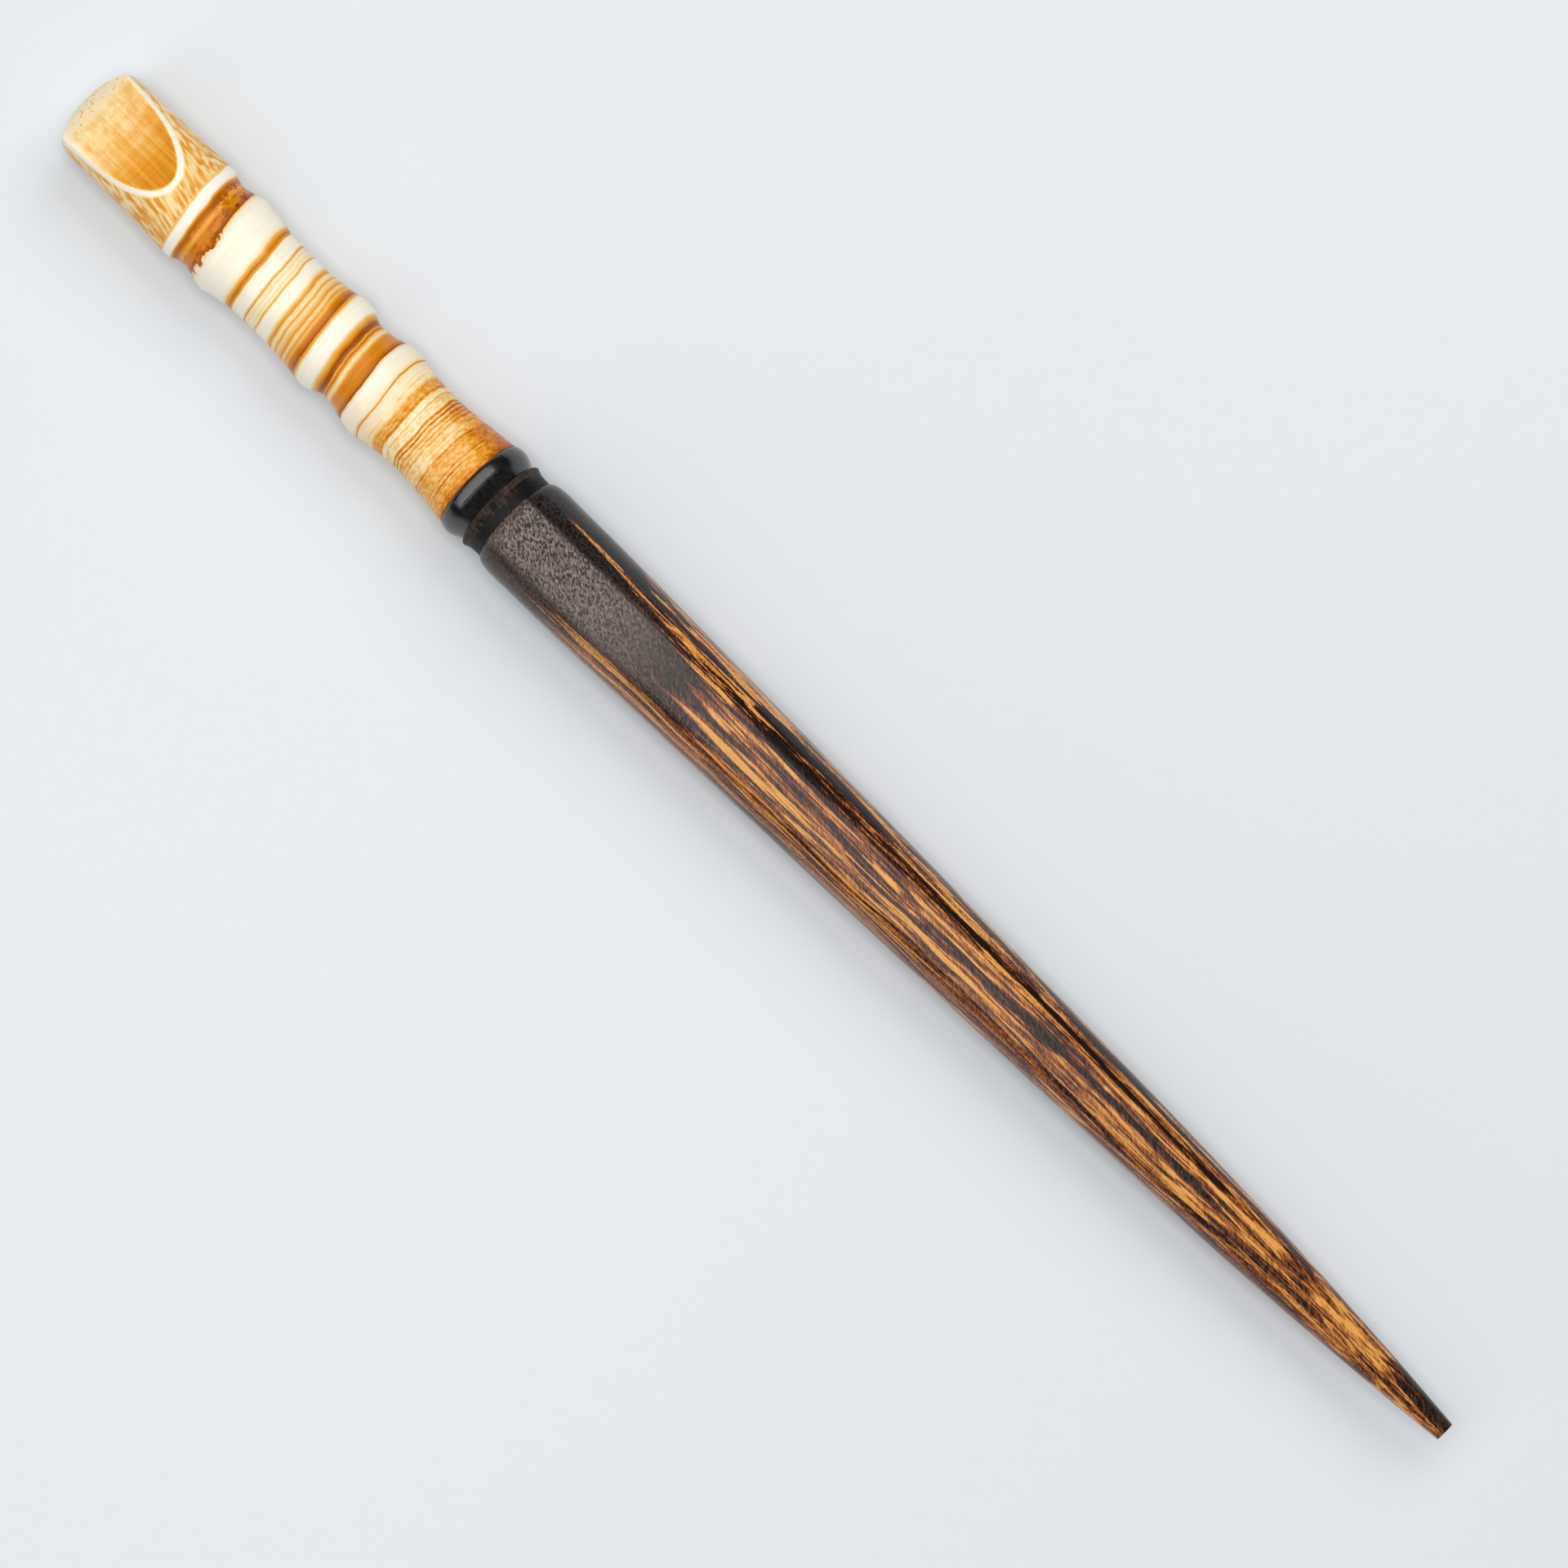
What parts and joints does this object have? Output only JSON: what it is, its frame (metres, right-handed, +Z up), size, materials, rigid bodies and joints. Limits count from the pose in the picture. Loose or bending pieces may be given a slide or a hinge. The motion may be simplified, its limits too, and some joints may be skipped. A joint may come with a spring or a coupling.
{
  "type": "hair stick",
  "caption": "Wooden hair stick that holds a bun: a thumb-cut bamboo-root handle, a turned dark collar and a long tapered hardwood shaft with a small square tip.",
  "frame": {"origin": "under the middle of the stick, on the surface that it lies on", "axes": "+X along the stick from the handle to the tip, +Z up out of the thumb scoop, +Y across the stick"},
  "size_m": [0.18, 0.0104, 0.0104],
  "materials": {
    "bamboo_root": "gloss lacquer over cream and amber bamboo root",
    "ebonised_bead": "polished black-dyed hardwood",
    "dark_neck": "satin brown-black hardwood",
    "figured_shaft": "satin lacquer over dark hardwood with orange streaks",
    "dowel_wood": "bare beech"
  },
  "bodies": {
    "root": {"bamboo_handle": "bamboo_root", "collar_bead": "ebonised_bead", "collar_neck": "dark_neck", "shaft": "figured_shaft", "joint_dowel": "dowel_wood"}
  },
  "joints": []
}
